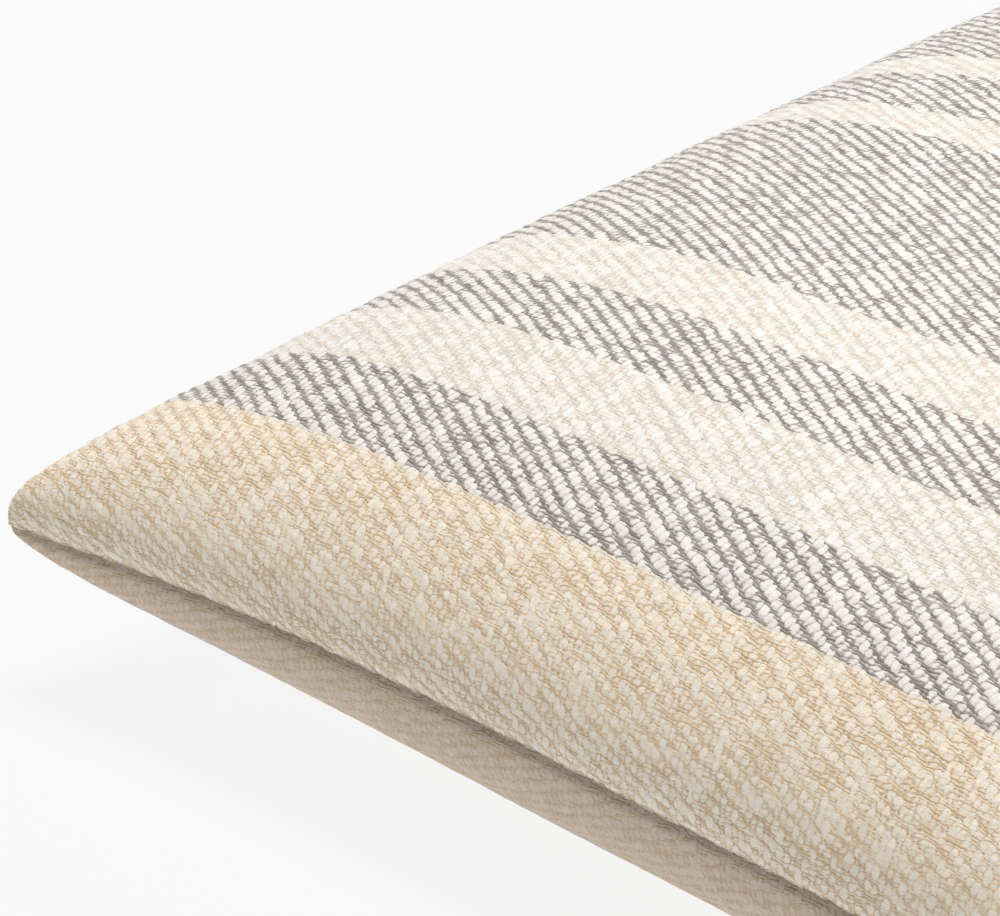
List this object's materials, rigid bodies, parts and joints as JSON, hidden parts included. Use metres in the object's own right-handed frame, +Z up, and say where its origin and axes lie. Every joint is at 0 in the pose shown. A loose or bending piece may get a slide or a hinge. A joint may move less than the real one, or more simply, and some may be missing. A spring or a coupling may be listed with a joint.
{
  "type": "throw pillow",
  "caption": "Square knife-edge throw pillow lying flat, with a slub-woven striped cover, a concealed zipper in one seam and a filled insert.",
  "frame": {"origin": "Middle of the pillow's footprint, on the surface it lies on.", "axes": "+Z up through the pillow's thickness, X along the stripes, +Y towards the zipper seam."},
  "size_m": [0.482, 0.482, 0.108],
  "materials": {
    "striped_cloth": "slubby twill, cream with grey stripes",
    "cream_cloth": "slubby twill, natural cream",
    "thread": "spun sewing thread",
    "zip_tape": "woven tape",
    "zip_coil": "satin",
    "zip_metal": "brushed nickel plate",
    "insert_cloth": "plain woven cotton",
    "filling": "loose fibre",
    "label": "satin ribbon"
  },
  "bodies": {
    "pillow": {"cover_front_panel": "striped_cloth", "cover_back_panel": "cream_cloth", "seam_overlock": "thread", "seam_stitching": "thread", "zipper_tape_front": "zip_tape", "zipper_tape_back": "zip_tape", "zipper_coil_front": "zip_coil", "zipper_coil_back": "zip_coil", "zipper_stitching_front": "thread", "zipper_stitching_back": "thread", "zipper_top_stop_front": "zip_metal", "zipper_top_stop_back": "zip_metal", "zipper_bottom_stop": "zip_metal", "insert_shell_front": "insert_cloth", "insert_shell_back": "insert_cloth", "insert_filling": "filling", "insert_stitching": "thread", "insert_label": "label", "care_label": "label"},
    "slider": {"zipper_slider": "zip_metal"},
    "pull": {"zipper_pull": "zip_metal"}
  },
  "joints": [
    {"name": "zipper_slide", "type": "slide", "parent": "pillow", "child": "slider", "axis": [-1, 0, 0], "range_m": [0, 0.3794]},
    {"name": "pull_hinge", "type": "hinge", "parent": "slider", "child": "pull", "pos_m": [0.1907, 0.2396, 0.047], "axis": [0, 0, 1], "range_deg": [0, 180]}
  ]
}
